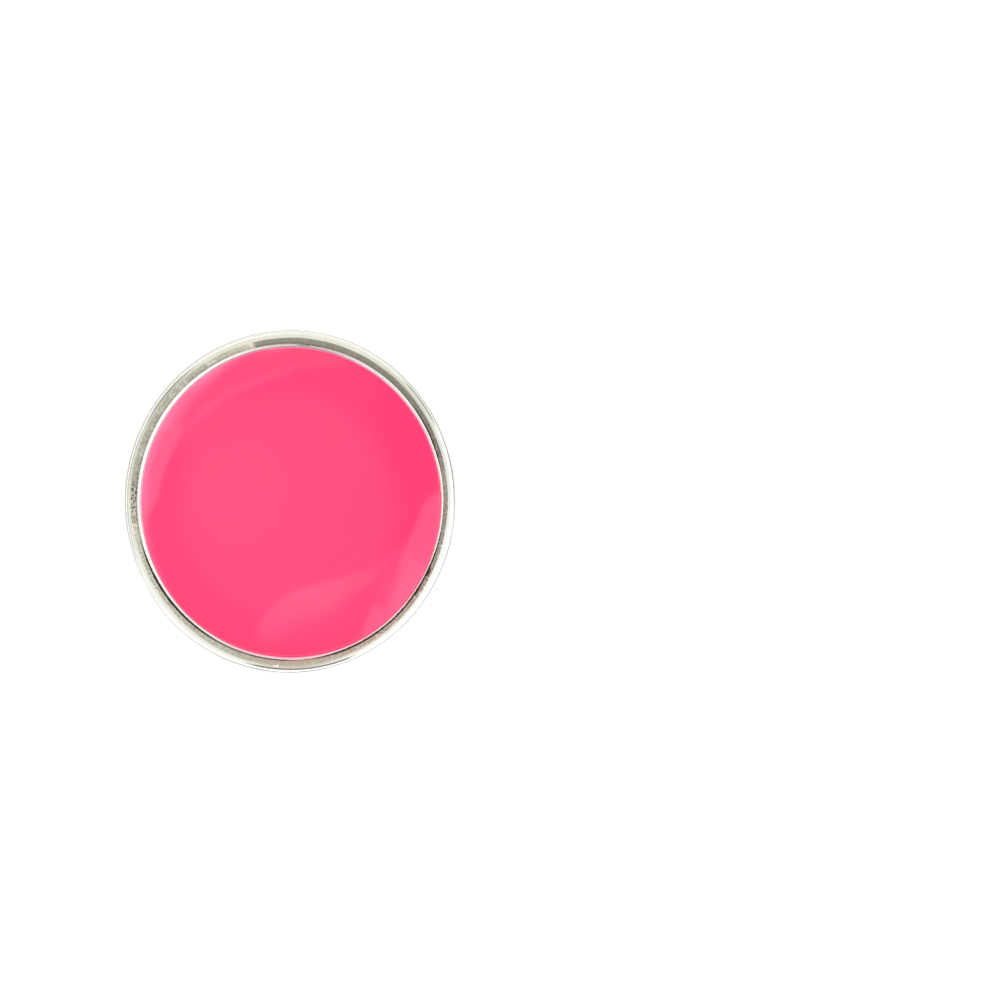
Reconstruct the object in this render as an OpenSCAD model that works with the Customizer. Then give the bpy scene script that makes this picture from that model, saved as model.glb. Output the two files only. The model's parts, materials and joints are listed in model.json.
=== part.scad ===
// Round enamel stud earring: a silver-tone cast cup with a raised rim, filled with a low dome of
// pink enamel, on a plain ear post with a butterfly nut. Millimetres.
// Every piece is drawn along its own axis, with the cup's back at z = 0, the enamel towards +Z and
// the post towards -Z. at_rest() then lays the stud on the floor as it rests by itself: leaning
// back on the cup's lowest edge and on the nut's lower scroll.

/* [Cup] */
// Outside diameter of the cup
cup_d = 20; // [14:0.5:26]
// Thickness of the cup, from its back to the crest of its rim
cup_t = 2.3; // [2.1:0.1:3]
// Thickness of the metal under the enamel
floor_t = 0.9; // [0.8:0.05:1.1]
// Inward slope of the cup's side towards its back, in degrees
draft = 18; // [4:1:20]
// Radius of the edge between the side and the back
back_edge_r = 0.5; // [0.2:0.05:0.7]

/* [Rim] */
// Width of the rim, from the enamel to the outside
rim_w = 0.94; // [0.9:0.02:1.3]
// Radius of the rim's outer shoulder
shoulder_r = 0.24; // [0.16:0.02:0.3]
// Width of the steep lip round the enamel
lip_w = 0.16; // [0.08:0.02:0.2]
// Height of that lip
lip_h = 0.2; // [0.1:0.02:0.3]
// Width of the sloping land between the lip and the crest
land_w = 0.35; // [0.2:0.05:0.4]
// Height that the land climbs to the crest
land_h = 0.2; // [0.04:0.02:0.24]

/* [Enamel] */
// Height of the enamel's dome over its own edge
dome_h = 0.42; // [0.1:0.02:0.8]
// Bevel of the enamel's edge
enamel_bevel = 0.06; // [0.02:0.02:0.14]

/* [Ear post] */
// Diameter of the post
post_d = 0.8; // [0.7:0.05:1]
// Length of the post behind the cup
post_l = 9.8; // [9.6:0.1:11.5]
// Depth of the socket that holds the post in the cup's back
socket_h = 0.55; // [0.3:0.05:0.6]
// Length of the post's free end, between its friction notch and its round tip
free_end_l = 1; // [0.6:0.1:1]
// Width of the rounded friction notch
notch_w = 0.56; // [0.52:0.02:0.7]
// Depth of the friction notch
notch_h = 0.07; // [0.04:0.01:0.1]

/* [Ear nut] */
// Space for the ear lobe, between the cup's back and the nut
lobe_gap = 5.4; // [3:0.1:5.4]
// Outside radius of each scroll
scroll_r = 1.25; // [1.1:0.05:1.25]
// Thickness of the nut's strip
strip_t = 0.35; // [0.25:0.05:0.4]
// Width of the nut at its scrolls
scroll_w = 3.4; // [3:0.1:4]
// Diameter of the nut's plate round the post
plate_d = 4.6; // [4.2:0.1:5]
// Angle that each scroll stops short of a full ring, in degrees
slot_angle = 66; // [55:1:80]

/* [Hidden] */

// Running gap between pieces that are pressed or poured together
gap = 0.02;
// Sides of a drawn circle
round_fn = 180;
// Sides of the enamel's very large dome circle
dome_fn = 1440;
// How far a cut reaches past the solid that it cuts
past = 1;
// Angle that a scroll's ring runs on into the plate, in degrees
seam_angle = 6;

cup_r = cup_d / 2;
recess_r = cup_r - rim_w;
lip_r = recess_r + lip_w;
crest_r = lip_r + land_w;
lip_z = cup_t - land_h;
enamel_edge_z = lip_z - lip_h;
enamel_r = recess_r - gap;
dome_r = (enamel_r * enamel_r + dome_h * dome_h) / (2 * dome_h);
dome_c_z = enamel_edge_z + dome_h - dome_r;

// Centres of the two round edges in the cup's section, joined by the sloping side
shoulder_c = [cup_r - shoulder_r, cup_t - shoulder_r];
side_out = shoulder_c.x * cos(draft) - shoulder_c.y * sin(draft) + shoulder_r;
back_edge_c = [
    (side_out - back_edge_r + back_edge_r * sin(draft)) / cos(draft),
    back_edge_r
];

post_r = post_d / 2;
notch_z = post_l - post_r - free_end_l - notch_w;
notch_r = (notch_w * notch_w / 4 + notch_h * notch_h) / (2 * notch_h);
bore_r = post_r + gap;
scroll_y = bore_r + scroll_r;
scroll_z = lobe_gap + scroll_r;

// Angle between the cup's back and a floor that touches both its lowest edge and a round thing
// of radius r, whose centre is y below the post's axis and z behind the cup
function lean_on(y, z, r) =
    let (reach_y = back_edge_c.x - y, reach_z = back_edge_c.y + z)
    atan2(reach_z, reach_y) + asin((r - back_edge_r) / norm([reach_y, reach_z]));

// The stud leans on the nut's lower scroll, or on the post's tip where that reaches further
lean = max(lean_on(scroll_y, scroll_z, scroll_r), lean_on(0, post_l - post_r, post_r));
rest_z = back_edge_c.x * sin(lean) - back_edge_c.y * cos(lean) + back_edge_r;

// The rearmost and foremost points, for a box centred on the origin
tip_back = (post_l - post_r) * sin(lean) + post_r;
nut_back = scroll_y * cos(lean) + scroll_z * sin(lean) + scroll_r;
rim_front = shoulder_c.x * cos(lean) + shoulder_c.y * sin(lean) + shoulder_r;
rest_y = (rim_front - max(tip_back, nut_back)) / 2;

// Lays a piece down in the stud's resting pose
module at_rest() {
    translate([0, rest_y, rest_z])
        rotate([lean, 0, 0])
            children();
}

// A circle of radius r, centred on the point c
module disc_at(c, r) {
    translate(c)
        circle(r = r, $fn = round_fn);
}

// The point of the circle (c, r) where the sloping side leaves it
function side_point(c, r) = [c.x + r * cos(draft), c.y - r * sin(draft)];

// Half section of the cup, solid through its middle
module cup_section() {
    difference() {
        union() {
            polygon([
                [0, 0],
                [back_edge_c.x, 0],
                side_point(back_edge_c, back_edge_r),
                side_point(shoulder_c, shoulder_r),
                shoulder_c,
                [shoulder_c.x, cup_t],
                [0, cup_t]
            ]);
            disc_at(back_edge_c, back_edge_r);
            disc_at(shoulder_c, shoulder_r);
        }
        polygon([
            [-past, floor_t],
            [recess_r, floor_t],
            [recess_r, enamel_edge_z],
            [lip_r, lip_z],
            [crest_r, cup_t],
            [crest_r, cup_t + past],
            [-past, cup_t + past]
        ]);
    }
}

// Cast cup with its recess, raised rim and blind socket for the post
module cup() {
    color("silver")
        at_rest()
            difference() {
                rotate_extrude($fn = round_fn)
                    cup_section();
                translate([0, 0, -past])
                    cylinder(r = bore_r, h = socket_h + past, $fn = 48);
            }
}

// Height of the dome's surface at the distance r from its middle
function dome_z(r) = dome_c_z + sqrt(dome_r * dome_r - r * r);

// Half section of the enamel: a flat bottom, an upright side, a bevel and the dome
module enamel_section() {
    bevel_r = enamel_r - enamel_bevel;
    difference() {
        intersection() {
            translate([0, floor_t + gap])
                square([enamel_r, cup_t]);
            translate([0, dome_c_z])
                circle(r = dome_r, $fn = dome_fn);
        }
        polygon([
            [bevel_r, cup_t + past],
            [bevel_r, dome_z(bevel_r)],
            [enamel_r, enamel_edge_z - enamel_bevel],
            [enamel_r + past, enamel_edge_z - enamel_bevel],
            [enamel_r + past, cup_t + past]
        ]);
    }
}

// Low dome of enamel that fills the recess
module enamel() {
    color([1, 0.33, 0.51])
        at_rest()
            rotate_extrude($fn = round_fn)
                enamel_section();
}

// Straight round peg from the socket to a round tip, with one rounded friction notch
module ear_post() {
    color("gainsboro")
        at_rest()
            mirror([0, 0, 1])
                difference() {
                    union() {
                        translate([0, 0, gap - socket_h])
                            cylinder(r = post_r, h = post_l - post_r + socket_h - gap, $fn = 48);
                        translate([0, 0, post_l - post_r])
                            sphere(r = post_r, $fn = 48);
                    }
                    translate([0, 0, notch_z + notch_w / 2])
                        rotate_extrude($fn = 48)
                            translate([post_r - notch_h + notch_r, 0])
                                circle(r = notch_r, $fn = 48);
                }
}

// One scroll of the nut in section: a ring with a slot beside the plate
module scroll_section() {
    translate([scroll_y, scroll_z])
        difference() {
            circle(r = scroll_r, $fn = 96);
            circle(r = scroll_r - strip_t, $fn = 96);
            rotate(-90 - slot_angle)
                polygon([
                    [0, 0],
                    [2 * scroll_r, 0],
                    [2 * scroll_r, 2 * scroll_r * tan(slot_angle - seam_angle)]
                ]);
        }
}

// Flat plate across the post, with a scroll curled back to the post at each end
module ear_nut() {
    color("gainsboro")
        at_rest()
            mirror([0, 0, 1])
                difference() {
                    intersection() {
                        rotate([90, 0, 90])
                            linear_extrude(height = plate_d, center = true) {
                                translate([-scroll_y, lobe_gap])
                                    square([2 * scroll_y, strip_t]);
                                scroll_section();
                                mirror([1, 0])
                                    scroll_section();
                            }
                        linear_extrude(height = scroll_z + scroll_r + past) {
                            circle(r = plate_d / 2, $fn = 96);
                            square([scroll_w, 2 * (scroll_y + scroll_r)], center = true);
                        }
                    }
                    translate([0, 0, lobe_gap - past])
                        cylinder(r = bore_r, h = strip_t + 2 * past, $fn = 48);
                }
}

cup();
enamel();
ear_post();
ear_nut();
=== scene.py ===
import json
import math

import bmesh
import bpy
from mathutils import Matrix, Vector


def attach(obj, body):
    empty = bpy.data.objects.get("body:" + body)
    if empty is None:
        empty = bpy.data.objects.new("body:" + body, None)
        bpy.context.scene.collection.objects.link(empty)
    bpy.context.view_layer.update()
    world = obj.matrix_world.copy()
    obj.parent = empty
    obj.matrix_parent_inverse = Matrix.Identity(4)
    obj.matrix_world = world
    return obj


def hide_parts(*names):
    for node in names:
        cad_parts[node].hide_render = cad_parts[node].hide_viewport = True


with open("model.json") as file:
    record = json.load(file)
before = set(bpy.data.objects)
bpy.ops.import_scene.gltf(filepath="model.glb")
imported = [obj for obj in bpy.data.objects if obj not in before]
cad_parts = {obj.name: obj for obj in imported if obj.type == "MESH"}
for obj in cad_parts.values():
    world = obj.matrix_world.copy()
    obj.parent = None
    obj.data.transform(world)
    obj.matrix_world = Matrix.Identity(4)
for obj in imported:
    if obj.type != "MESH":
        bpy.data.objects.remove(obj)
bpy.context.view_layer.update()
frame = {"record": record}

MM = 0.001

# The stud's own frame: its origin on the middle of the cup's back, x across the disc,
# y up the disc and z out of the enamel. Sizes below are in millimetres of this frame.
POST_END = frame["record"]["mounts"][0]
POST_END_Z = -8.9
FACE = -Vector(POST_END["axis"]).normalized()
ACROSS = Vector((1, 0, 0))
DISC_UP = FACE.cross(ACROSS)
ORIGIN = Vector(POST_END["pos_m"]) - FACE * POST_END_Z * MM
LEAN = math.atan2(DISC_UP.z, DISC_UP.y)


def facing(x_axis, y_axis, z_axis):
    """The turn that lays the three axes along the given directions."""
    return Matrix((x_axis, y_axis, z_axis)).transposed().to_4x4()


TO_REST = Matrix.Translation(ORIGIN) @ facing(ACROSS, DISC_UP, FACE) @ Matrix.Scale(MM, 4)

# Cup, with the corners of the rim's section from the enamel out to the crest
CUP_R = 10
CUP_T = 2.3
DRAFT = 18
BACK_EDGE_R = 0.5
BACK_EDGE_X = 8.97975
SHOULDER_R = 0.24
RECESS_R = 9.06
FLOOR_Z = 0.9
LIP_FOOT = (9.02, 1.893)
LIP_TOP = (9.205, 2.078)
CREVICE = (9.25, 2.066)
LAND_FOOT = (9.295, 2.12)
LAND_TOP = (9.57, 2.3)
LIP_EDGE_R = 0.02
CREVICE_R = 0.012
LAND_FOOT_R = 0.02
CREST_EDGE_R = 0.12
LIP_DEPTH = 0.05

# Enamel. The hold is the first step of the dome's arc, in degrees, and keeps the edge crisp
ENAMEL_R = 9.052
ENAMEL_BOTTOM_R = 9.04
ENAMEL_BOTTOM_Z = 0.92
ENAMEL_BOTTOM_EDGE_R = 0.04
ENAMEL_EDGE_R = 0.02
ENAMEL_SHIFT = (0.015, -0.026, 0)
DOME_R = 97.4976
DOME_TOP_Z = 2.32
EDGE_HOLD = 0.008

# Post and its socket
POST_R = 0.4
POST_TIP_Z = -9.8
POST_EDGE_R = 0.04
SOCKET_TOP_Z = 0.55
SOCKET_EDGE_R = 0.05
GAP = 0.02
BORE_R = POST_R + GAP
NOTCH_Z = -7.84
NOTCH_W = 0.56
NOTCH_H = 0.07

# Nut
PLATE_Z = -5.4
STRIP_T = 0.35
PLATE_R = 2.3
SCROLL_W = 3.4
SCROLL_Y = 1.67
SCROLL_Z = -6.65
SCROLL_TURN = 294
STRIP_EDGE_R = 0.05

# Steps of the turned shapes and the nut's curves, and how close two points count as one
TURN_STEPS = 384
POST_STEPS = 96
PLATE_STEPS = 64
SCROLL_STEPS = 56
MERGE = 1e-4


# Shader maths
class Flow:
    """A value that flows between a finish's nodes, with Python's operators."""

    def __init__(self, finish, socket):
        self.finish = finish
        self.socket = socket

    def maths(self, operation, *others):
        return self.finish.maths(operation, self, *others)

    def __add__(self, other):
        return self.maths("ADD", other)

    def __sub__(self, other):
        return self.maths("SUBTRACT", other)

    def __mul__(self, other):
        return self.maths("MULTIPLY", other)

    def __truediv__(self, other):
        return self.maths("DIVIDE", other)

    def __radd__(self, other):
        return self.finish.maths("ADD", other, self)

    def __rsub__(self, other):
        return self.finish.maths("SUBTRACT", other, self)

    def __rmul__(self, other):
        return self.finish.maths("MULTIPLY", other, self)

    def __rtruediv__(self, other):
        return self.finish.maths("DIVIDE", other, self)


class Wiring:
    """Nodes and the sums between them."""

    def __init__(self, tree):
        self.tree = tree

    def feed(self, socket, value):
        """Links a socket to a flow, or sets it to a plain value."""
        if isinstance(value, Flow):
            self.tree.links.new(value.socket, socket)
        else:
            socket.default_value = value

    def node(self, kind, settings=None, sockets=None, output=0):
        """One node: first its settings, then what its sockets take, and the output that is used."""
        made = self.tree.nodes.new(kind)
        for name, setting in (settings or {}).items():
            if name == "stops":
                for place, _ in setting[2:]:
                    made.color_ramp.elements.new(place)
                for element, (place, colour) in zip(made.color_ramp.elements, setting):
                    element.position = place
                    element.color = (*colour, 1)
            else:
                setattr(made, name, setting)
        for name, value in (sockets or {}).items():
            self.feed(made.inputs[name], value)
        return Flow(self, made.outputs[output])

    def maths(self, operation, *values):
        return self.node("ShaderNodeMath", {"operation": operation}, dict(enumerate(values)))

    def rise(self, value, low, high):
        """0 up to low, 1 from high on and a smooth step between them. Either may be the larger."""
        return self.node(
            "ShaderNodeMapRange",
            {"interpolation_type": "SMOOTHSTEP"},
            {"Value": value, "From Min": low, "From Max": high},
        )

    def blend(self, factor, first, second):
        """One colour turning into another."""
        return self.node(
            "ShaderNodeMix",
            {"data_type": "RGBA"},
            {0: factor, 6: first, 7: second},
            output=2,
        )

    def grey_flow(self, level):
        """A number as a grey."""
        channels = {"Red": level, "Green": level, "Blue": level}
        return self.node("ShaderNodeCombineColor", sockets=channels)

    def parts(self, place):
        """The three numbers of a place."""
        return [
            self.node("ShaderNodeSeparateXYZ", sockets={"Vector": place}, output=number)
            for number in range(3)
        ]

    def scaled(self, place, factors):
        """A place or a colour, with each of its parts times a factor."""
        return self.node(
            "ShaderNodeVectorMath",
            {"operation": "MULTIPLY"},
            {0: place, 1: factors},
        )

    def noise(self, place, scale, detail=2.0, roughness=0.5):
        return self.node(
            "ShaderNodeTexNoise",
            sockets={"Vector": place, "Scale": scale, "Detail": detail, "Roughness": roughness},
        )


class Finish(Wiring):
    """A material: its shader and the nodes that feed it."""

    def __init__(self, name, **fixed):
        self.material = bpy.data.materials.new(name)
        self.material.use_nodes = True
        super().__init__(self.material.node_tree)
        self.shader = self.tree.nodes["Principled BSDF"]
        self.surface(**fixed)

    def own_place(self):
        """The point's place in the stud's own frame, in millimetres."""
        place = self.node("ShaderNodeTexCoord", output="Object")
        return self.node(
            "ShaderNodeMapping",
            {"vector_type": "TEXTURE"},
            {"Vector": place, "Location": ORIGIN, "Rotation": (LEAN, 0, 0), "Scale": (MM, MM, MM)},
        )

    def round_disc(self, x, y):
        """The distance from the disc's axis, and the part of a turn round it."""
        radius = self.maths("SQRT", x * x + y * y)
        turn = self.maths("FRACT", self.maths("ARCTAN2", y, x) / math.tau)
        return radius, turn

    def relief(self, height, distance):
        """Small relief of the surface: a height from 0 to 1 over a distance in millimetres."""
        return self.node("ShaderNodeBump", sockets={"Height": height, "Distance": distance * MM})

    def surface(self, **sockets):
        """Sets the shader's sockets, each by its name in small letters, and gives the material."""
        for words, value in sockets.items():
            self.feed(self.shader.inputs[words.replace("_", " ").title()], value)
        return self.material


def grey(level):
    return (level, level, level, 1)


# Sections and turned shapes
class Section:
    """A half section that is drawn from point to point, at a radius and a height."""

    def __init__(self, radius, height):
        self.mesh = bmesh.new()
        self.tip = bmesh.ops.create_vert(self.mesh, co=(radius, 0, height))["vert"][0]

    def line(self, radius, height, steps=1):
        """A straight stretch in even steps."""
        start = self.tip.co.copy()
        end = Vector((radius, 0, height))
        for step in range(1, steps + 1):
            self.tip = bmesh.ops.extrude_vert_indiv(self.mesh, verts=[self.tip])["verts"][0]
            self.tip.co = start.lerp(end, step / steps)

    def held_line(self, radius, height, hold=0.05, steps=1):
        """A straight stretch with an extra ring close to each end, which keeps it flat."""
        start = self.tip.co.copy()
        end = Vector((radius, 0, height))
        part = min(hold / (end - start).length, 0.3)
        for place in (start.lerp(end, part), start.lerp(end, 1 - part), end):
            self.line(place.x, place.z, steps if place is not end else 1)

    def arc(self, radius, height, degrees, steps):
        """An arc round a centre, anticlockwise where the angle is positive."""
        swept = bmesh.ops.spin(
            self.mesh,
            geom=[self.tip],
            cent=(radius, 0, height),
            axis=(0, -1, 0),
            angle=math.radians(degrees),
            steps=steps,
        )
        self.tip = next(v for v in swept["geom_last"] if isinstance(v, bmesh.types.BMVert))

    def turned(self, steps=TURN_STEPS):
        """The section turned once round the axis."""
        bmesh.ops.spin(
            self.mesh,
            geom=self.mesh.verts[:] + self.mesh.edges[:],
            axis=(0, 0, 1),
            cent=(0, 0, 0),
            angle=math.tau,
            steps=steps,
            use_merge=True,
        )
        return self.mesh


def fillet(section, corner, before, after, radius, steps=5):
    """Draws up to a corner of the section and round it with an arc of the given radius."""
    corner = Vector(corner)
    into = (corner - Vector(before)).normalized()
    out = (Vector(after) - corner).normalized()
    bend = into.angle_signed(out)
    reach = radius * math.tan(abs(bend) / 2)
    start = corner - into * reach
    side = Vector((-into.y, into.x)) * (-1 if bend > 0 else 1)
    centre = start + side * radius
    section.held_line(start.x, start.y)
    section.arc(centre.x, centre.y, -math.degrees(bend), steps)


def placed(mesh, name, material):
    """Makes a mesh an object of the scene, with its material."""
    data = bpy.data.meshes.new(name)
    mesh.to_mesh(data)
    mesh.free()
    data.materials.append(material)
    made = bpy.data.objects.new(name, data)
    bpy.context.scene.collection.objects.link(made)
    return made


def finished(mesh, name, material, node):
    """Lays a mesh down in the resting pose, as the piece that stands for a node."""
    bmesh.ops.remove_doubles(mesh, verts=mesh.verts[:], dist=MERGE)
    bmesh.ops.recalc_face_normals(mesh, faces=mesh.faces[:])
    bmesh.ops.transform(mesh, matrix=TO_REST, verts=mesh.verts[:])
    for face in mesh.faces:
        face.smooth = True
    piece = placed(mesh, name, material)
    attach(piece, "root")
    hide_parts(node)
    return piece


# Finishes
def plated_cast():
    """Silver-tone plating: polished crest and shoulder, rough land, bright lip, dull back; painted
    reflections and shade round the rim.
    """
    finish = Finish("plated cast rim and cup", metallic=1.0)
    place = finish.own_place()
    x, y, z = finish.parts(place)
    radius, turn = finish.round_disc(x, y)
    degrees = turn * 360
    round_place = finish.node(
        "ShaderNodeCombineXYZ",
        sockets={"X": x / radius * CUP_R, "Y": y / radius * CUP_R, "Z": radius * 0.6},
    )

    grain = finish.noise(place, 9.0, detail=4.0, roughness=0.65)
    tooling = finish.noise(round_place, 5.5, detail=3.0, roughness=0.6)
    bars = finish.noise(round_place, 1.7)
    patches = finish.noise(place, 0.9)
    pits = finish.rise(finish.noise(place, 10.0, roughness=0.6), 0.53, 0.59)
    painted_glints = finish.rise(finish.noise(round_place, 9.0, detail=1.0), 0.6, 0.68)

    def by_turn(*stops):
        """A tone that changes round the disc, from stops of an angle in degrees and a tone."""
        colours = [(angle / 360, (tone, tone, tone)) for angle, tone in stops]
        return finish.node("ShaderNodeValToRGB", {"stops": colours}, {"Fac": turn})

    def along(first, last, fade):
        """1 from one angle of the rim to another."""
        start = finish.rise(degrees, first - fade, first + fade)
        return start * (1 - finish.rise(degrees, last - fade, last + fade))

    def hairline(middle, half, first, last, fade):
        """A fine line along the rim, from one angle to another."""
        away = finish.maths("ABSOLUTE", radius - middle)
        return (1 - finish.rise(away, half * 0.3, half * 1.5)) * along(first, last, fade)

    def fleck(angle, half_angle, middle, half):
        """A small mark on the rim."""
        away_turn = finish.maths("ABSOLUTE", degrees - angle) / half_angle
        away_out = finish.maths("ABSOLUTE", radius - middle) / half
        return 1 - finish.rise(finish.maths("MAXIMUM", away_turn, away_out), 0.6, 1.3)

    # The lip, the crevice beside it and the land's outer edge wander a little round the rim
    wander = by_turn(
        (0, 0.7), (14, 0.8), (50, 0.55), (90, 0.3), (180, 0.4), (245, 0.35), (290, 0.65),
        (320, 0.7), (345, 0.6), (360, 0.7),
    )
    lip_edge = 9.12 + wander * 0.2
    crevice_r = 9.157 + wander * 0.2
    land_edge = 9.44 + 0.04 * patches + 0.2 * by_turn(
        (0, 0.55), (30, 0.6), (50, 0.6), (80, 0.45), (120, 0.2), (180, 0.4), (208, 0.05),
        (240, 0.1), (276, 0.75), (360, 0.55),
    )
    front = finish.rise(z, 1.7, 1.8)
    behind = 1 - finish.rise(z, 0.02, 0.3)
    side = 1 - finish.rise(z, 2.16, 2.25)
    lip = (1 - finish.rise(radius, lip_edge - 0.015, lip_edge + 0.015)) * front
    land = (1 - finish.rise(radius, land_edge, land_edge + 0.05)) * front - lip

    # Cast land: unpolished, with open pits in places. Its tone round the rim is painted reflection
    # and shade, darker at the upper right and browner below, with a painted highlight at 115
    # degrees
    land_painted_light = by_turn(
        (0, 0.4), (22, 0.36), (28, 0.2), (50, 0.22), (75, 0.25), (114.5, 0.27), (115.3, 0.68),
        (117, 0.53), (140, 0.46), (180, 0.45), (203, 0.66), (240, 0.56), (262, 0.5), (302, 0.56),
        (340, 0.5), (360, 0.4),
    )
    land_tint = finish.blend(along(268, 345, 12), (1, 1, 0.79, 1), (1, 0.86, 0.68, 1))
    land_tone = finish.scaled(land_painted_light, land_tint)
    coarse = by_turn(
        (0, 0.8), (28, 0.4), (60, 0.12), (180, 0.3), (184, 1.0), (198, 1.0), (230, 0.4),
        (290, 0.3), (302, 0.7), (345, 0.9), (360, 0.8),
    )
    pitted = along(182, 199, 4) + 0.3 * along(120, 181, 5) + 0.3 * along(208, 250, 5)
    pitted = pitted + 0.5 * (along(-20, 26, 3) + along(340, 400, 5))
    dark_grain = finish.rise(grain, 0.42, 0.72) * (0.15 + 0.4 * coarse)
    cast = finish.blend(dark_grain, land_tone, (0.06, 0.05, 0.04, 1))
    pale_bars = finish.rise(bars, 0.5, 0.62) * 0.2 * along(122, 182, 6)
    cast = finish.blend(pale_bars, cast, (0.95, 0.95, 0.84, 1))
    cast = finish.blend(pits * pitted, cast, grey(0.012))
    # Painted glints: pale flecks on the land where light would catch it
    cast = finish.blend(painted_glints * coarse * 0.75, cast, (0.95, 0.93, 0.86, 1))

    # Polished crest and shoulder, with a painted reflection tone round the rim, browner in places
    crest_painted_reflection = by_turn(
        (0, 0.84), (30, 0.7), (57, 0.57), (76, 0.71), (136, 0.67), (150, 0.45), (168, 0.56),
        (214, 0.77), (270, 0.73), (287, 0.5), (304, 0.71), (342, 0.88), (360, 0.84),
    )
    creamy = along(45, 190, 20)
    crest_tint = finish.blend(creamy, (1, 0.99, 0.91, 1), (1, 0.98, 0.84, 1))
    crest_tint = finish.blend(along(266, 325, 14), crest_tint, (1, 0.94, 0.8, 1))
    crest_tone = finish.scaled(crest_painted_reflection, crest_tint)
    shoulder_painted_reflection = by_turn(
        (0, 0.97), (30, 0.95), (46, 0.81), (70, 0.82), (130, 0.77), (195, 0.71), (235, 0.92),
        (265, 0.97), (285, 0.91), (310, 0.95), (360, 0.97),
    )
    bright = (1, 1, 0.96, 1)
    shoulder_tint = finish.blend(creamy, bright, (1, 1, 0.88, 1))
    shoulder_tone = finish.scaled(shoulder_painted_reflection, shoulder_tint)
    # Painted highlight: the outer shoulder made brighter from the top round to the left
    painted_outer_highlight = finish.rise(radius, 9.86, 9.93) * along(66, 152, 12)
    shoulder_tone = finish.blend(painted_outer_highlight * 0.6, shoulder_tone, bright)
    polished = finish.blend(finish.rise(radius, 9.69, 9.78), crest_tone, shoulder_tone)
    # Painted shade: the cup's side and the lower part of the shoulder are made darker
    polished = finish.blend(side, polished, (0.64, 0.64, 0.58, 1))

    # Back: brushed in rings, dulled in patches, and darker round the post
    ring_place = finish.node(
        "ShaderNodeCombineXYZ",
        sockets={"X": x / radius * 0.5, "Y": y / radius * 0.5, "Z": radius},
    )
    turning = finish.noise(ring_place, 5.0, detail=4.0, roughness=0.75)
    dulled = finish.rise(finish.noise(place, 0.35, detail=4.0, roughness=0.6), 0.42, 0.68)
    dark_back = (0.25, 0.25, 0.22, 1)
    back_tone = finish.blend(dulled * 0.3, (0.56, 0.56, 0.52, 1), (0.4, 0.4, 0.36, 1))
    back_tone = finish.blend(finish.rise(turning, 0.4, 0.75) * 0.35, back_tone, dark_back)
    round_post = 1 - finish.rise(radius, 0.5, 1.3)
    back_tone = finish.blend(round_post * 0.5, back_tone, dark_back)

    # Painted reflections: dark hairlines on the crest, on the shoulder and along the outline
    spiral = 9.765 + (degrees - 268) * 0.002
    worn = hairline(spiral, 0.06, 268, 305, 4) * 0.85
    for strength, *line in (
        (0.5, 9.71, 0.06, 139, 162, 6),
        (0.35, 9.715, 0.04, 168, 212, 6),
        (0.7, 9.855, 0.04, 39, 56, 4),
        (0.35, 9.86, 0.035, 164, 229, 6),
        (0.5, 9.93, 0.03, 224, 275, 4),
        (0.55, 9.98, 0.035, 224, 290, 12),
        (0.45, 9.985, 0.03, 285, 400, 4),
        (0.3, 9.985, 0.03, -40, 30, 16),
    ):
        worn = worn + hairline(*line) * strength
    polished = finish.blend(worn * (0.75 + 0.5 * grain), polished, (0.1, 0.1, 0.08, 1))
    # Two small nubs, raised a little and painted white as a highlight
    nubs_with_painted_glint = fleck(276.9, 0.25, 9.64, 0.06) + fleck(277.9, 0.25, 9.62, 0.07)

    # Lip, with a film of enamel on it below and at the right. The lip's tone round the rim is
    # painted reflection, pink below where it mirrors the enamel, and the dark line in the crevice
    # is painted shade
    lip_painted_reflection = by_turn(
        (0, 0.97), (60, 0.97), (76, 0.88), (90, 0.6), (106, 0.58), (122, 0.7), (142, 0.79),
        (175, 0.86), (197, 0.98), (240, 0.76), (270, 0.86), (300, 0.92), (360, 0.97),
    )
    lip_tint = finish.blend(along(40, 100, 12), (0.96, 1, 0.98, 1), (0.8, 1, 0.98, 1))
    lip_tint = finish.blend(along(256, 318, 10), lip_tint, (1, 0.7, 0.78, 1))
    lip_tone = finish.scaled(lip_painted_reflection, lip_tint)
    film_r = 9 + 0.2 * by_turn(
        (0, 0.5), (15, 0.5), (46, 0.2), (62, 0.0), (190, 0.0), (240, 0.35), (300, 0.62),
        (360, 0.5),
    )
    film = (1 - finish.rise(radius, film_r - 0.02, film_r + 0.025)) * front
    pale_film = lip * along(22, 82, 10)
    # Painted shade in the crevice: how dark and wide its line is round the rim
    crevice_shade_level = by_turn(
        (0, 0.5), (20, 0.15), (31, 0.85), (46, 0.55), (56, 0.05), (122, 0.05), (132, 0.35),
        (143, 0.05), (204, 0.3), (222, 1.0), (236, 0.95), (256, 0.5), (280, 0.5), (286, 0.2),
        (303, 0.95), (345, 1.0), (360, 0.5),
    )
    half = (0.008 + 0.058 * crevice_shade_level) * (0.5 + tooling)
    crevice_shade_and_dashes = 1 - finish.rise(finish.maths("ABSOLUTE", radius - crevice_r), half * 0.6, half * 1.3)
    crevice_shade_and_dashes = crevice_shade_and_dashes * front * finish.maths("MINIMUM", crevice_shade_level * 1.6, 0.97)
    dashes = hairline(9.2, 0.025, 90, 96, 1) + hairline(9.13, 0.025, 94, 99, 1)
    crevice_shade_and_dashes = finish.maths("MAXIMUM", crevice_shade_and_dashes, dashes * finish.rise(tooling, 0.35, 0.55) * 0.8)
    blot = fleck(345.6, 1.6, 9.36, 0.11) + fleck(337.5, 1.6, 9.33, 0.06)

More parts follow.
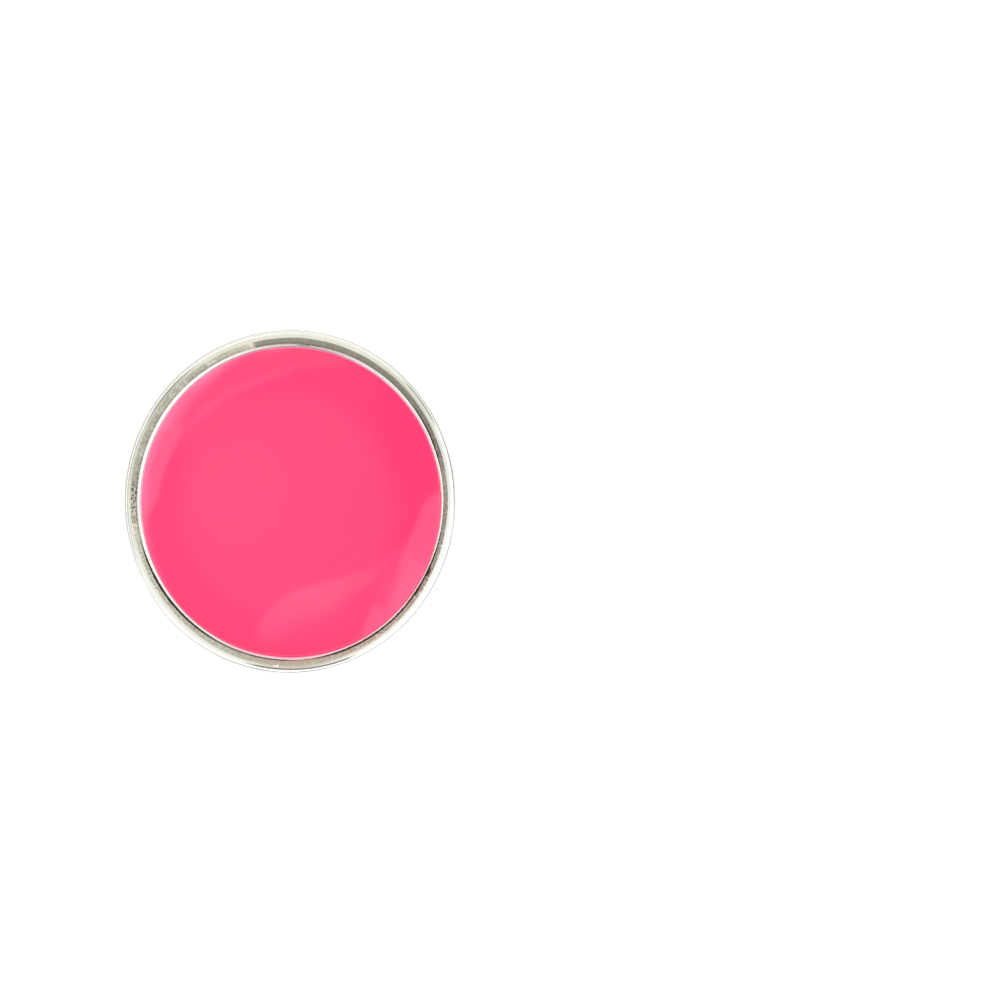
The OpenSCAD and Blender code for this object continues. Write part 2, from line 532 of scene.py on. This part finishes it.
    # The layers, one over the other
    colour = finish.blend(land, polished, cast)
    colour = finish.blend(lip, colour, lip_tone)
    colour = finish.blend(film, colour, (0.96, 0.04, 0.16, 1))
    colour = finish.blend(blot * front * (0.6 + 0.5 * grain), colour, (0.05, 0.02, 0.018, 1))
    colour = finish.blend(crevice_shade_and_dashes, colour, (0.02, 0.018, 0.015, 1))
    colour = finish.blend(nubs_with_painted_glint * front, colour, (1, 1, 0.97, 1))
    colour = finish.blend(behind, colour, back_tone)

    gloss = 0.1 + 0.05 * patches + land * (0.2 + 0.25 * grain) + lip * 0.05
    gloss = gloss + side * 0.06 + behind * (0.04 + 0.14 * grain + 0.12 * dulled)
    height = (grain * 0.5 + tooling * 0.3) * land * (0.3 + 0.7 * coarse)
    height = height + (grain * 0.3 + turning * 0.7) * behind
    height = height - pits * land * pitted * 0.6 + patches * 0.02 + nubs_with_painted_glint * 0.5
    return finish.surface(
        base_color=colour,
        metallic=(1 - film) * (1 - 0.5 * pale_film),
        roughness=gloss,
        normal=finish.relief(height, 0.02),
    )


def poured_enamel():
    """Glossy hot-pink enamel, almost even, with a few specks of dust under its skin."""
    finish = Finish("poured pink enamel")
    place = finish.own_place()
    x, y, _ = finish.parts(place)
    radius, turn = finish.round_disc(x, y)
    flow = finish.noise(place, 0.22, detail=1.0)
    mottle = finish.noise(place, 2.6, detail=3.0, roughness=0.6)
    dust = finish.node(
        "ShaderNodeTexVoronoi",
        {"feature": "F1"},
        {"Vector": place, "Scale": 0.62, "Randomness": 1.0},
        output="Distance",
    )
    specks = 1 - finish.rise(dust, 0.02, 0.05)
    pink = finish.blend(mottle, (0.97, 0.0355, 0.155, 1), (0.95, 0.0385, 0.161, 1))
    pink = finish.blend(specks * 0.25, pink, (0.6, 0.02, 0.08, 1))

    # Painted highlight: the enamel turns pale at its edge, most at the top and left
    thin = finish.rise(turn, 0.09, 0.18) * (1 - finish.rise(turn, 0.53, 0.61))
    thin = finish.rise(radius, 8.93, 9.03) * (0.12 + 0.33 * thin)
    pink = finish.blend(thin, pink, (0.66, 0.7, 0.74, 1))
    return finish.surface(
        base_color=pink,
        roughness=0.025 + 0.025 * mottle,
        normal=finish.relief(flow * 0.6 + specks * 0.05, 0.03),
    )


def drawn_wire():
    """Polished steel wire with fine lines from drawing, along the post."""
    finish = Finish("drawn steel wire", metallic=1.0)
    place = finish.own_place()
    lines = finish.noise(finish.scaled(place, (1, 1, 0.04)), 26.0, detail=3.0, roughness=0.6)
    worn = finish.noise(place, 1.4, detail=3.0)
    tone = finish.blend(worn, (0.74, 0.74, 0.71, 1), (0.62, 0.62, 0.59, 1))
    return finish.surface(
        base_color=finish.blend(lines * 0.25, tone, grey(0.45)),
        roughness=0.14 + 0.14 * lines + 0.05 * worn,
        normal=finish.relief(lines, 0.006),
    )


def rolled_strip():
    """Bright plated strip with faint rolling lines, softly worn."""
    finish = Finish("bright rolled strip", metallic=1.0)
    place = finish.own_place()
    lines = finish.noise(finish.scaled(place, (1, 0.06, 0.06)), 18.0, detail=3.0, roughness=0.6)
    worn = finish.noise(place, 1.1, detail=4.0, roughness=0.6)
    tone = finish.blend(worn, (0.76, 0.76, 0.72, 1), (0.62, 0.62, 0.57, 1))
    return finish.surface(
        base_color=finish.blend(lines * 0.2, tone, grey(0.45)),
        roughness=0.12 + 0.12 * lines + 0.08 * worn,
        normal=finish.relief(lines * 0.6 + worn * 0.4, 0.008),
    )


# Pieces
def cast_cup(material):
    """The cup: back with the post's socket, sloping side, shoulder, crest, land, lip and recess."""
    shoulder_x = CUP_R - SHOULDER_R
    section = Section(0, SOCKET_TOP_Z)
    section.held_line(BORE_R, SOCKET_TOP_Z)
    fillet(section, (BORE_R, 0), (BORE_R, SOCKET_TOP_Z), (CUP_R, 0), SOCKET_EDGE_R)
    section.held_line(BACK_EDGE_X, 0, hold=0.3, steps=6)
    section.arc(BACK_EDGE_X, BACK_EDGE_R, 90 - DRAFT, 10)
    draft = math.radians(DRAFT)
    section.held_line(
        shoulder_x + SHOULDER_R * math.cos(draft),
        CUP_T - SHOULDER_R - SHOULDER_R * math.sin(draft),
        hold=0.08,
    )
    section.arc(shoulder_x, CUP_T - SHOULDER_R, 90 + DRAFT, 16)
    fillet(section, LAND_TOP, (shoulder_x, CUP_T), LAND_FOOT, CREST_EDGE_R, steps=6)
    fillet(section, LAND_FOOT, LAND_TOP, CREVICE, LAND_FOOT_R, steps=4)
    fillet(section, CREVICE, LAND_FOOT, LIP_TOP, CREVICE_R, steps=4)
    fillet(section, LIP_TOP, CREVICE, LIP_FOOT, LIP_EDGE_R)
    section.held_line(*LIP_FOOT)
    section.line(RECESS_R, LIP_FOOT[1] - LIP_DEPTH)
    section.held_line(RECESS_R, FLOOR_Z)
    section.held_line(0, FLOOR_Z, hold=0.3, steps=4)
    finished(section.turned(), "cup_casting", material, "cup")


def enamel_dome(material):
    """The enamel: flat below, filling the recess to the lip, with a low dome on top."""
    dome_c_z = DOME_TOP_Z - DOME_R
    edge_x = ENAMEL_R - ENAMEL_EDGE_R
    edge_z = dome_c_z + math.sqrt((DOME_R - ENAMEL_EDGE_R) ** 2 - edge_x**2)
    slope = math.degrees(math.asin(edge_x / (DOME_R - ENAMEL_EDGE_R)))
    bottom_start = (0, ENAMEL_BOTTOM_Z)
    bottom_corner = (ENAMEL_BOTTOM_R, ENAMEL_BOTTOM_Z)
    section = Section(*bottom_start)
    fillet(section, bottom_corner, bottom_start, (ENAMEL_R, 2), ENAMEL_BOTTOM_EDGE_R)
    section.held_line(ENAMEL_R, edge_z)
    section.arc(edge_x, edge_z, 90 - slope, 6)
    section.arc(0, dome_c_z, EDGE_HOLD, 1)
    section.arc(0, dome_c_z, slope - EDGE_HOLD, 28)
    mesh = section.turned()
    bmesh.ops.translate(mesh, verts=mesh.verts[:], vec=ENAMEL_SHIFT)
    finished(mesh, "enamel_pour", material, "enamel")


def post_peg(material):
    """The post: a straight peg with one rounded notch and a round tip."""
    notch_r = (NOTCH_W * NOTCH_W / 4 + NOTCH_H * NOTCH_H) / (2 * NOTCH_H)
    half_turn = math.degrees(math.asin(NOTCH_W / 2 / notch_r))
    round_z = POST_TIP_Z + POST_R
    top_z = SOCKET_TOP_Z - GAP
    section = Section(0, top_z)
    fillet(section, (POST_R, top_z), (0, top_z), (POST_R, 0), POST_EDGE_R)
    section.held_line(POST_R, NOTCH_Z, steps=8)
    section.arc(POST_R - NOTCH_H + notch_r, NOTCH_Z - NOTCH_W / 2, 2 * half_turn, 12)
    section.held_line(POST_R, round_z)
    section.arc(0, round_z, -90, 12)
    finished(section.turned(POST_STEPS), "post_peg", material, "ear_post")


def butterfly_nut(material):
    """The nut: one strip, its plate round the post and a scroll rolled at each end."""
    mesh = bmesh.new()
    bmesh.ops.create_circle(mesh, radius=BORE_R, segments=PLATE_STEPS)
    outline = bmesh.ops.create_circle(mesh, radius=PLATE_R, segments=PLATE_STEPS)["verts"]

    # The round plate ends in a straight edge where each scroll starts, as wide as the scroll
    half_width = SCROLL_W / 2
    reach = max(abs(vert.co.x) for vert in outline if abs(vert.co.y) > SCROLL_Y)
    for vert in outline:
        if abs(vert.co.y) > SCROLL_Y:
            vert.co.x *= half_width / reach
            vert.co.y = math.copysign(SCROLL_Y, vert.co.y)
        elif abs(vert.co.x) < half_width:
            vert.co.x = math.copysign(half_width, vert.co.x)
    bmesh.ops.bridge_loops(mesh, edges=mesh.edges[:])
    bmesh.ops.translate(mesh, verts=mesh.verts[:], vec=(0, 0, PLATE_Z - STRIP_T / 2))
    for side in (1, -1):
        straight_edge = [
            edge
            for edge in mesh.edges
            if all(abs(vert.co.y - side * SCROLL_Y) < MERGE for vert in edge.verts)
        ]
        bmesh.ops.spin(
            mesh,
            geom=straight_edge,
            cent=(0, side * SCROLL_Y, SCROLL_Z),
            axis=(-side, 0, 0),
            angle=math.radians(SCROLL_TURN),
            steps=SCROLL_STEPS,
        )
    strip = finished(mesh, "nut_strip", material, "ear_nut")
    thick = strip.modifiers.new("strip thickness", "SOLIDIFY")
    thick.thickness = STRIP_T * MM
    thick.offset = 0
    edges = strip.modifiers.new("rounded edges", "BEVEL")
    edges.width = STRIP_EDGE_R * MM
    edges.segments = 3
    edges.limit_method = "ANGLE"
    edges.angle_limit = math.radians(50)


# Camera, floor and light. The camera is about 15 degrees off the disc's axis, and its aim lies
# beside the disc, in the plane of the rim. The card is reflected in the enamel and the rim.
AZIMUTH = math.radians(17.42)
ELEVATION = math.radians(42.17)
CAMERA_MM = 400.0
LENS_MM = 246.8
SENSOR_MM = 36
CLIP_START = 0.01
RIM_PLANE_Z = 2.06
AIM_RIGHT_MM = 12.318
AIM_UP_MM = 0.078
CARD_MM = 300.0
CARD_HALF = 100.0
FLOOR_HALF = 1.5

towards_camera = Vector(
    (
        math.sin(AZIMUTH) * math.cos(ELEVATION),
        -math.cos(AZIMUTH) * math.cos(ELEVATION),
        math.sin(ELEVATION),
    )
)
image_right = Vector((math.cos(AZIMUTH), math.sin(AZIMUTH), 0))
image_up = towards_camera.cross(image_right)


def place_camera():
    """The camera, with a long lens."""
    camera = bpy.data.objects.new("camera", bpy.data.cameras.new("camera"))
    bpy.context.scene.collection.objects.link(camera)
    rim_middle = ORIGIN + FACE * RIM_PLANE_Z * MM
    aim = rim_middle + (image_right * AIM_RIGHT_MM + image_up * AIM_UP_MM) * MM
    stand = Matrix.Translation(aim + towards_camera * CAMERA_MM * MM)
    camera.matrix_world = stand @ facing(image_right, image_up, towards_camera)
    camera.data.lens = LENS_MM
    camera.data.sensor_width = SENSOR_MM
    camera.data.clip_start = CLIP_START
    bpy.context.scene.camera = camera


def sheet(name, half, material):
    """A flat square that lies level, with its half width in metres."""
    mesh = bmesh.new()
    bmesh.ops.create_grid(mesh, x_segments=1, y_segments=1, size=half)
    made = placed(mesh, name, material)
    return made


def glow(name, strength):
    """A matt finish that gives off white light."""
    finish = Finish(
        name,
        base_color=grey(0),
        roughness=1.0,
        emission_color=grey(1),
        emission_strength=strength,
    )
    finish.shader.inputs["Specular IOR Level"].default_value = 0
    return finish


def front_card_light():
    """The front card's light, with places on the card in millimetres from its middle."""
    finish = glow("front card light", 1.0)
    place = finish.node("ShaderNodeTexCoord", output="Object")
    across, up, _ = finish.parts(finish.scaled(place, (CARD_HALF, CARD_HALF, 1)))

    def from_point(right, high):
        """The distance from a point of the card."""
        side = across - right
        above = up - high
        return finish.maths("SQRT", side * side + above * above)

    def towards(level, goal, mask):
        """The level, changed into the goal where the mask is 1."""
        return level + (goal - level) * mask

    # Soft round glow, brightest left of its middle, on a card that is lighter below
    lower = finish.rise(up, 12, -34)
    far_left = (1 - finish.rise(across, -52, -40)) * finish.rise(up, -12, 8)
    level = 0.42 + lower * (0.27 + 0.12 * finish.rise(across, 10, 34)) + far_left * 0.55
    above = 0.2 * (1 - finish.rise(across, -2, 22)) * finish.rise(up, 20, 40)
    level = level + above * (1 - far_left)
    plateau = 1.15 - 0.15 * finish.rise(across, -5, 25)
    plateau = plateau + 0.2 * (1 - finish.rise(from_point(-32, -8), 6, 30))
    level = towards(level, plateau, 1 - finish.rise(from_point(-10, -5), 43, 58))

    # Leaf: sharp along its upper edge, which bends up at the right, and soft below
    bend = across - 20
    below = -34.3 + 0.74 * (across - 16) + 0.0003 * bend * bend * bend - up
    heel = finish.maths("MAXIMUM", 8 - across, 0)
    below = below - 0.038 * heel * heel
    tip = finish.maths("MAXIMUM", across - 24, 0)
    leaf = finish.rise(below, -1.2, 1.6) * finish.rise(across, -7, 1)
    leaf = leaf * (1 - finish.rise(across, 44, 48)) * (1 - finish.rise(below, 4, 33 - 0.95 * tip))
    leaf = leaf * finish.rise(across + 1.45 * up, -106, -92)
    level = towards(level, 2.05 - 0.045 * tip - 0.35 * (1 - finish.rise(across, 0, 12)), leaf)

    # Streak at the upper left, bent a little, with some light beyond it
    beyond = from_point(5.2, -8.7) - 72 + 1.5 * finish.rise(up, 26, 38)
    beyond = beyond - 5 * finish.rise(across, -38, -12)
    upper_left = (1 - finish.rise(across, -20, 0)) * finish.rise(up, 4, 14)
    level = towards(level, 1.05, finish.rise(beyond, 0, 2) * upper_left)
    streak = 1 - finish.rise(finish.maths("ABSOLUTE", beyond), 0.6, 2.8)
    level = level + 0.6 * streak * upper_left

    # Bright panels at both sides, with straight upright edges
    right = finish.rise(across, 50.4, 51.9 + 5 * finish.rise(up, -8, -22))
    right = right * finish.rise(1.5 * across - 54.5 - up, -2, 2)
    level = towards(level, 1.65, right)
    level = level + 0.95 * finish.rise(across, 51, 59) * finish.rise(up, 2, -12)
    level = level + 0.32 * finish.rise(across, 43.5, 47) * (1 - right) * finish.rise(up, 0, -6)
    level = towards(level, 1.95, finish.rise(across, 44.5, 47.5) * finish.rise(up, -31, -35))
    left = (1 - finish.rise(across, -68.6, -66.8)) * finish.rise(up, 12, 4)
    level = towards(level, 2.1 + 1.6 * finish.rise(across, -74.5, -78), left)

    # Bright borders where the edge of the enamel looks, from the upper left down to the lower left
    from_middle = from_point(-8.4, -3.6)
    starts = 61 + 7 * finish.rise(up, 14, 46)
    rim_side = finish.rise(from_middle, starts, 72 - finish.rise(up, 28, 36))
    rim_side = rim_side * (1 - finish.rise(across, -46, -34)) * finish.rise(up, 0, 11)
    strength = 2.3 + 1.5 * finish.rise(up, 23, 30) - 1.4 * finish.rise(up, 30, 50)
    level = level + rim_side * strength
    border = 0.15 + 0.85 * finish.rise(across, -10, -50)
    level = level + border * finish.rise(from_middle, 69, 72.5)
    narrow = finish.rise(up, -38, -54)
    low_side = finish.rise(from_middle, 65.5 + 3.5 * narrow, 70 + 2 * narrow)
    level = level + 1.6 * low_side * finish.rise(up, -18, -28) * finish.rise(across, -44, -62)

    # Even light past the outline of the disc, a dark strip at the bottom, and cooler bright parts
    level = towards(level, 1.1, finish.rise(from_middle, 76.5, 79))
    level = level * finish.rise(up, -96, -92)
    cool = finish.rise(level, 1.2, 1.8) * finish.rise(from_middle, 48, 60)
    tint = finish.blend(cool, grey(1), (0.95, 1, 1.22, 1))
    return finish.surface(emission_color=finish.scaled(finish.grey_flow(level), tint))


def white_room():
    """A white tent: bright, with a grey band low down behind and a thin seam at the front left."""
    world = bpy.data.worlds.new("white tent")
    world.use_nodes = True
    wiring = Wiring(world.node_tree)
    x, y, z = wiring.parts(wiring.node("ShaderNodeTexCoord", output="Generated"))
    height = wiring.maths("ARCSINE", z) * math.degrees(1)
    level_out = wiring.maths("SQRT", x * x + y * y)
    forward = y * -1 / level_out
    side = x / level_out

    def band(low, high, soft):
        """1 between two heights above the floor, in degrees."""
        above = wiring.rise(height, low - soft, low + soft)
        return above * (1 - wiring.rise(height, high - soft, high + soft))

    behind = 1 - wiring.rise(forward, -0.35, 0.25)
    seam = (1 - wiring.rise(side, -0.3, -0.15)) * wiring.rise(forward, 0.3, 0.45)
    level = 1.12 - 0.85 * band(7, 24, 4) * behind - 0.8 * band(19.6, 21.6, 0.6) * seam
    background = world.node_tree.nodes["Background"]
    wiring.feed(background.inputs["Color"], wiring.grey_flow(level))
    return world


def lit_floor():
    """A white floor of fine fibres, lit from below."""
    finish = glow("lit white floor", 0.62)
    place = finish.node("ShaderNodeTexCoord", output="Object")
    fibre = finish.noise(place, 400.0, detail=3.0)
    return finish.surface(base_color=finish.blend(fibre, grey(0.73), grey(0.77)))


def light_stage():
    """The tent, the floor and the card, which lights and is reflected but isn't in the picture."""
    bpy.context.scene.world = white_room()
    bpy.context.scene.view_settings.view_transform = "Standard"
    sheet("floor", FLOOR_HALF, lit_floor())

    # The card stands where the enamel mirrors it to the camera
    middle = (2 * towards_camera.dot(FACE) * FACE - towards_camera).normalized()
    across = Vector((0, 0, 1)).cross(middle).normalized()
    up = middle.cross(across)
    centre = ORIGIN + FACE * DOME_TOP_Z * MM + middle * CARD_MM * MM
    card = sheet("front card", 1, front_card_light())
    size = Matrix.Diagonal((CARD_HALF * MM, CARD_HALF * MM, 1, 1))
    card.matrix_world = Matrix.Translation(centre) @ facing(across, up, middle) @ size
    card.visible_camera = False


cast_cup(plated_cast())
enamel_dome(poured_enamel())
post_peg(drawn_wire())
butterfly_nut(rolled_strip())
place_camera()
light_stage()
